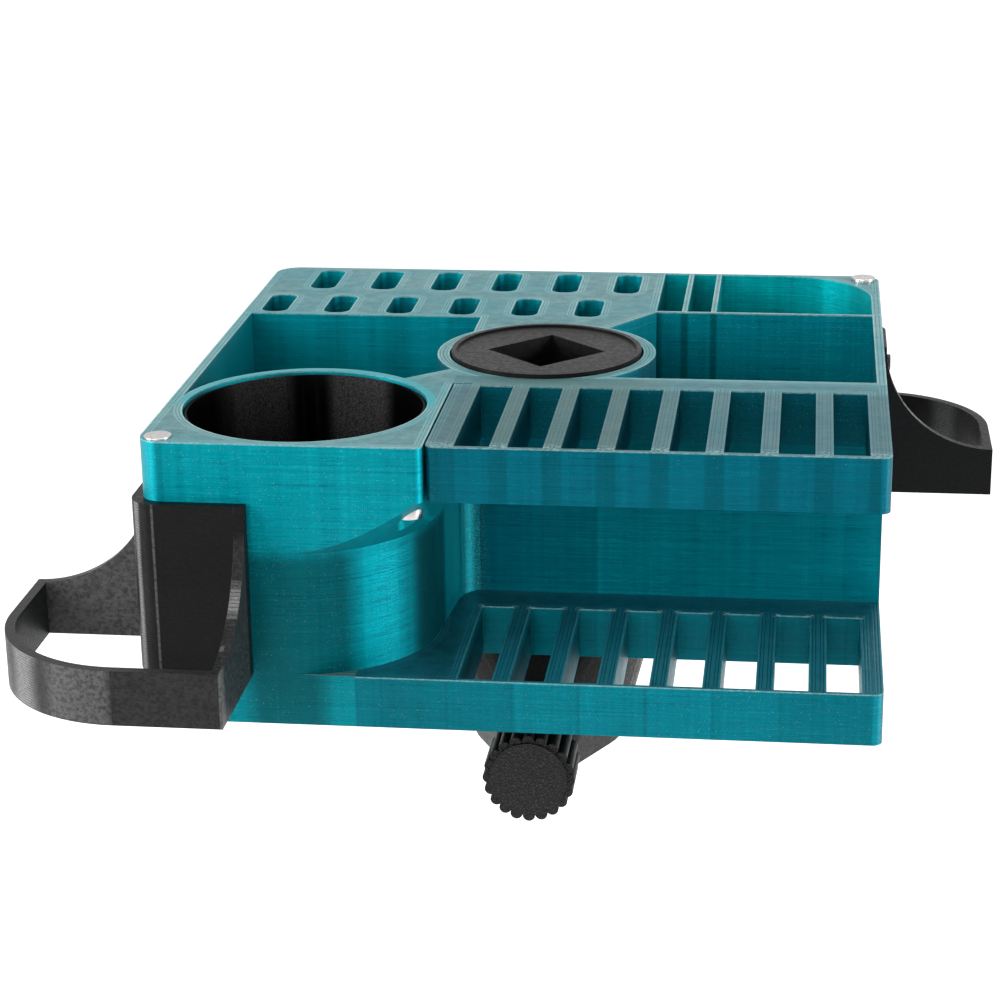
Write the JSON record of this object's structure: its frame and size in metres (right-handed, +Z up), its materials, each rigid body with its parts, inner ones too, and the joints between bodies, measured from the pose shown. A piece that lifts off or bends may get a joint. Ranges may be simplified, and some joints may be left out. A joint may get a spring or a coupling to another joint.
{
  "type": "tool caddy",
  "caption": "Swivelling workshop tool caddy with a lined cup, bins, slotted racks and corner tool loops, carried on a clamp hub with a square sleeve.",
  "frame": {"origin": "on the swivel axis, level with the caddy's underside", "axes": "+Z up along the swivel axis; -Y is the front with the tool racks and the clamp knob; +X to the right seen from the front"},
  "size_m": [0.291, 0.2855, 0.1334],
  "materials": {
    "teal_print": "silky layered print",
    "black_print": "satin layered print",
    "zinc_steel": "zinc plated",
    "nickel": "bright nickel plate"
  },
  "bodies": {
    "hub": {"clamp_hub": "black_print", "hub_flange": "black_print", "clamp_nut": "zinc_steel"},
    "caddy": {"cup_block": "teal_print", "left_bin": "teal_print", "slot_block_front": "teal_print", "slot_block_back": "teal_print", "swivel_ring": "teal_print", "right_bin": "teal_print", "rear_bin": "teal_print", "upper_rack": "teal_print", "lower_rack": "teal_print", "front_tool_loop": "black_print", "rear_tool_loop": "black_print", "loop_screws": "zinc_steel", "front_magnet": "nickel", "rear_magnet": "nickel", "underside_magnet": "nickel"},
    "liner": {"cup_liner": "black_print"},
    "pad": {"pressure_pad": "black_print"},
    "knob": {"clamp_screw": "zinc_steel", "clamp_knob": "black_print"}
  },
  "joints": [
    {"name": "caddy_swivel", "type": "hinge", "parent": "hub", "child": "caddy", "pos_m": [0, 0, 0], "axis": [0, 0, 1], "continuous": true},
    {"name": "liner_lift", "type": "slide", "parent": "caddy", "child": "liner", "axis": [0, 0, 1], "range_m": [0, 0.085]},
    {"name": "pad_slide", "type": "slide", "parent": "hub", "child": "pad", "axis": [0, -1, 0], "range_m": [0, 0.00187]},
    {"name": "knob_turn", "type": "hinge", "parent": "pad", "child": "knob", "pos_m": [0, -0.04, -0.033], "axis": [0, -1, 0], "range_deg": [0, 540]}
  ],
  "couplings": [
    {"joint": "knob_turn", "follows": "pad_slide", "rad_per_m": 5026.5}
  ]
}
